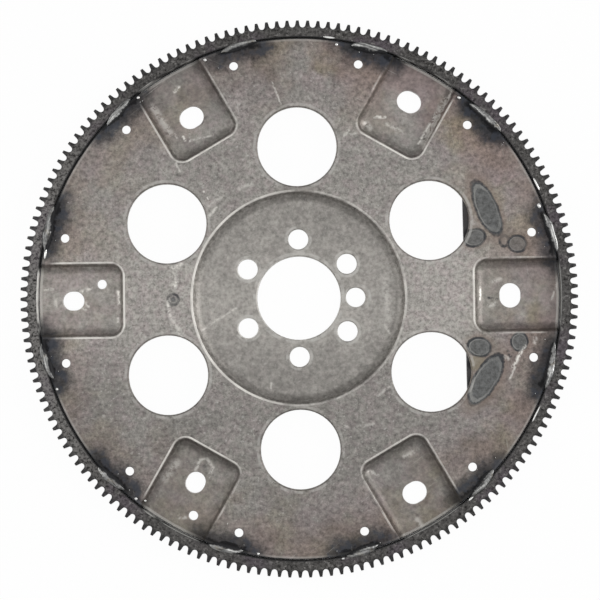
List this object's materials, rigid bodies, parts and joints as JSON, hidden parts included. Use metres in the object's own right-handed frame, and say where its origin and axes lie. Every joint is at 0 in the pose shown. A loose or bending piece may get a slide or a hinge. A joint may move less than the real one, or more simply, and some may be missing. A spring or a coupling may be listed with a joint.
{
  "type": "flexplate",
  "caption": "Round stamped steel drive plate with a dished hub, sunk bolt pads, large lightening holes and a welded toothed starter ring, between a crankshaft and a torque converter.",
  "frame": {"origin": "centre of the pilot bore on the crank seat, the upper face of the dished hub", "axes": "+Z along the axis towards the engine, +X through the pad between the counterweights"},
  "size_m": [0.3598, 0.3598, 0.0115],
  "materials": {
    "plate_steel": "bare rolled sheet, mottled, scratched, heat-tinted near the welds",
    "ring_steel": "dark oxide, matt, teeth darker",
    "weld_metal": "bare silver bead with soot at its toes",
    "counterweight_steel": "dark mill scale"
  },
  "bodies": {
    "root": {"disc": "plate_steel", "ring_gear": "ring_steel", "counterweight_upper": "counterweight_steel", "counterweight_lower": "counterweight_steel", "ring_weld_01": "weld_metal", "ring_weld_02": "weld_metal", "ring_weld_03": "weld_metal", "ring_weld_04": "weld_metal", "ring_weld_05": "weld_metal", "ring_weld_06": "weld_metal", "ring_weld_07": "weld_metal", "ring_weld_08": "weld_metal", "ring_weld_09": "weld_metal", "ring_weld_10": "weld_metal", "ring_weld_11": "weld_metal", "ring_weld_12": "weld_metal", "upper_slot_weld": "weld_metal", "upper_inner_plug_weld": "weld_metal", "upper_outer_plug_weld": "weld_metal", "lower_slot_weld": "weld_metal", "lower_inner_plug_weld": "weld_metal", "lower_outer_plug_weld": "weld_metal"}
  },
  "joints": []
}
